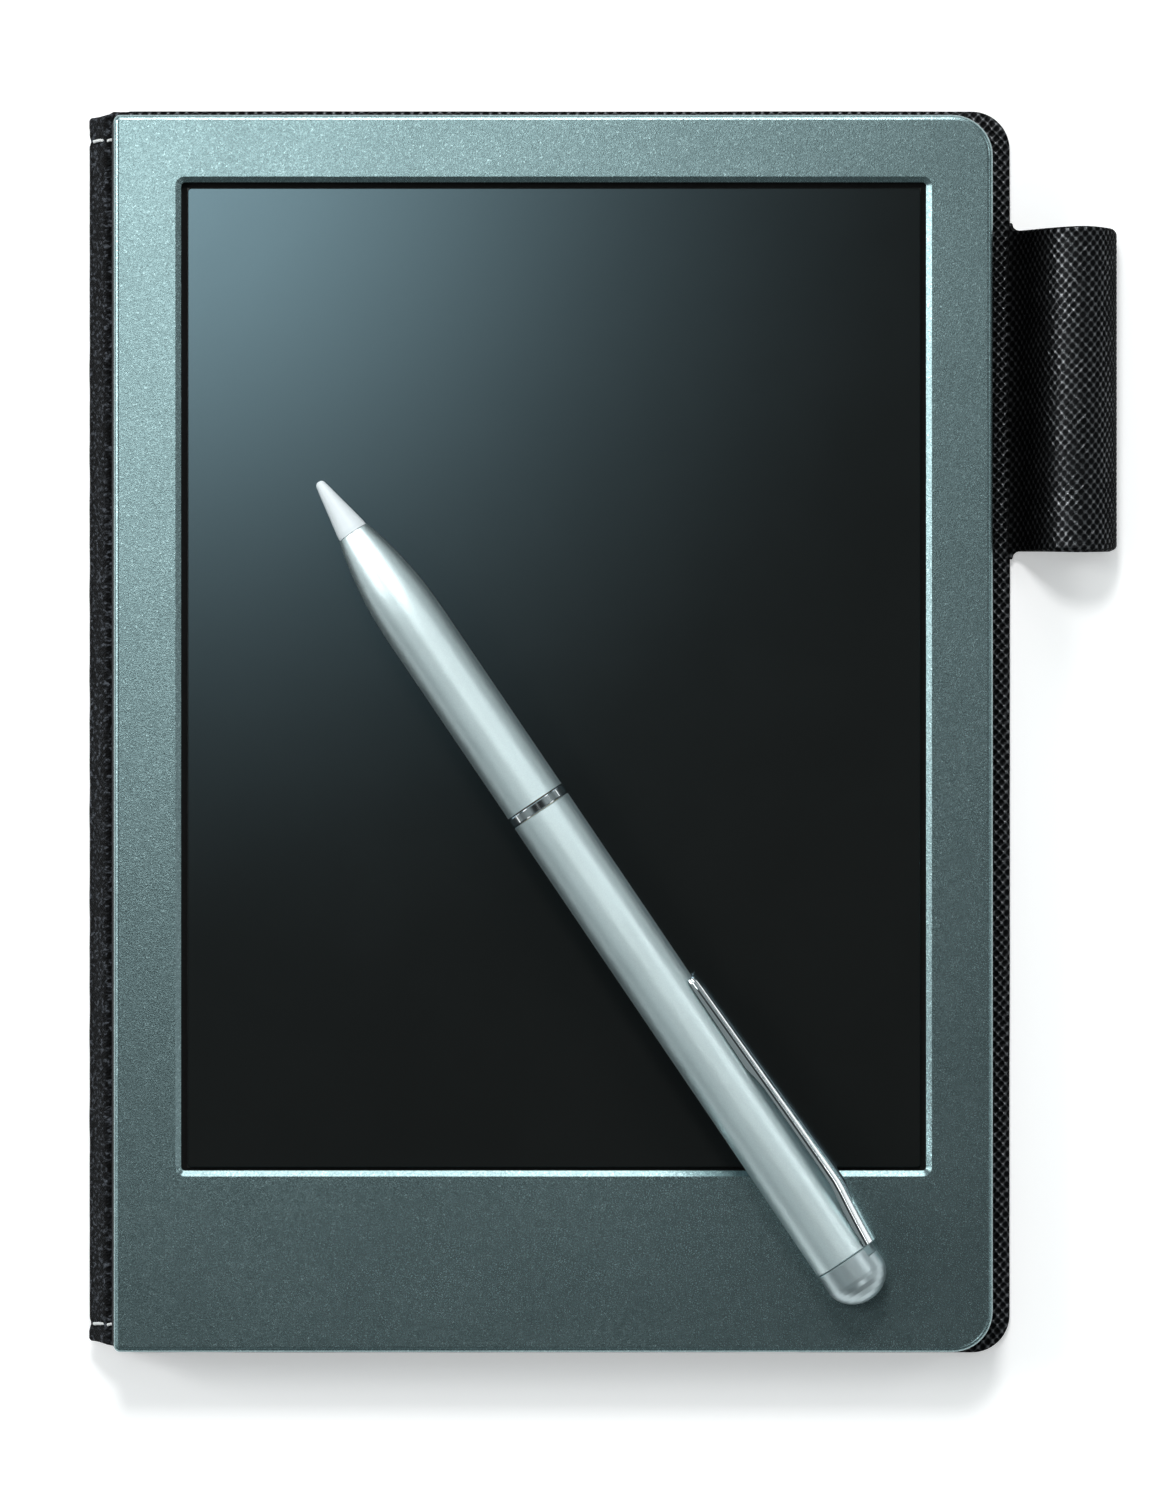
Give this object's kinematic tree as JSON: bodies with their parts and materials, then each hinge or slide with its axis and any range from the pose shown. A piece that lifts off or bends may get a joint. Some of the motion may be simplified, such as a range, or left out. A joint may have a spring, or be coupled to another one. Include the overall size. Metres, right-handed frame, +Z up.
{
  "type": "personal digital assistant",
  "caption": "Pocket electronic memo pad with a large reflective touch display, a fold-back leather cover on a cloth spine, a pen loop and a metal stylus with a clip.",
  "frame": {"origin": "on the underside of the folded-back cover, under the middle of the tablet, where the object rests on a table", "axes": "+X to the right of the screen, +Y towards the top edge of the tablet, +Z up out of the screen"},
  "size_m": [0.1293, 0.1568, 0.0192],
  "materials": {
    "case_black": "fine matt black moulding",
    "bezel_silver": "silver metallic paint with fine flake",
    "screen_glass": "glossy touch panel",
    "lcd": "dark reflective liquid crystal panel",
    "foam_black": "matt black foam",
    "chassis": "pressed sheet",
    "pcb_green": "solder mask",
    "chip_black": "moulded package",
    "tin_can": "tinned sheet",
    "flex_amber": "polyimide film",
    "battery_foil": "pouch foil",
    "usb_steel": "stamped shell",
    "light_clear": "clear moulding",
    "screw_steel": "zinc plated",
    "key_black": "satin black",
    "spine_cloth": "close black cloth",
    "thread_white": "white sewing thread",
    "leather_black": "cross-grain embossed, semi-gloss",
    "lining_cloth": "close black cloth",
    "greyboard": "pressed board",
    "pen_satin": "bead-blasted and anodised",
    "pen_chrome": "bright plated",
    "nib_white": "hard pale grey moulding",
    "pen_brass": "turned"
  },
  "bodies": {
    "tablet": {"rear_case": "case_black", "front_bezel": "bezel_silver", "touch_panel": "screen_glass", "display_tape": "foam_black", "screen_gasket": "foam_black", "lcd_module": "lcd", "chassis_plate": "chassis", "main_board": "pcb_green", "processor_chip": "chip_black", "memory_chips": "chip_black", "shield_can": "tin_can", "flex_connectors": "chip_black", "lcd_flex": "flex_amber", "touch_flex": "flex_amber", "battery_pack": "battery_foil", "battery_lead": "chip_black", "usb_socket": "usb_steel", "charge_led": "light_clear", "charge_light_pipe": "light_clear", "button_board": "pcb_green", "power_switch": "tin_can", "reset_switch": "tin_can", "case_screws": "screw_steel", "board_screws": "screw_steel", "spine_clamp_bar": "case_black", "spine_anchor": "spine_cloth", "clamp_screws": "screw_steel"},
    "power_key": {"power_button": "key_black"},
    "reset_plunger": {"reset_button": "key_black"},
    "spine_upper": {"spine_upper_strip": "spine_cloth", "spine_stitches": "thread_white"},
    "spine_lower": {"spine_lower_strip": "spine_cloth"},
    "cover": {"cover_leather": "leather_black", "cover_lining": "lining_cloth", "cover_board": "greyboard", "pen_loop": "leather_black"},
    "pen": {"pen_rear_barrel": "pen_satin", "pen_center_ring": "pen_chrome", "pen_thread_insert": "pen_brass", "pen_cap": "pen_chrome"},
    "pen_front": {"pen_front_barrel": "pen_satin", "pen_nib": "nib_white", "nib_holder": "pen_brass", "pen_spigot": "pen_brass"},
    "clip": {"pen_clip": "pen_chrome"}
  },
  "joints": [
    {"name": "spine_at_tablet", "type": "hinge", "parent": "tablet", "child": "spine_upper", "pos_m": [-0.05595, 0, 0.00635], "axis": [0, 1, 0], "range_deg": [0, 103.2]},
    {"name": "cover_fold", "type": "hinge", "parent": "spine_upper", "child": "spine_lower", "pos_m": [-0.0579, 0, 0.0037], "axis": [0, 1, 0], "range_deg": [0, 159]},
    {"name": "spine_at_cover", "type": "hinge", "parent": "spine_lower", "child": "cover", "pos_m": [-0.0549, 0, 0.00085], "axis": [0, 1, 0], "range_deg": [0, 83.8]},
    {"name": "pen_pick_up", "type": "slide", "parent": "tablet", "child": "pen", "axis": [0.5605, -0.8281, 0.0091], "range_m": [0, 0.15]},
    {"name": "pen_unscrew", "type": "hinge", "parent": "pen", "child": "pen_front", "pos_m": [-0.0017, -0.00914, 0.01459], "axis": [0.5605, -0.8281, 0.0091], "continuous": true},
    {"name": "clip_flex", "type": "hinge", "parent": "pen", "child": "clip", "pos_m": [0.03916, -0.06236, 0.01724], "axis": [0.3805, 0.2477, -0.891], "range_deg": [0, 3], "stiffness_Nm_per_rad": 0.15},
    {"name": "power_press", "type": "slide", "parent": "tablet", "child": "power_key", "axis": [0, -1, 0], "range_m": [0, 0.0004], "stiffness_N_per_m": 300},
    {"name": "reset_press", "type": "slide", "parent": "tablet", "child": "reset_plunger", "axis": [0, 0, 1], "range_m": [0, 0.00025], "stiffness_N_per_m": 300}
  ]
}
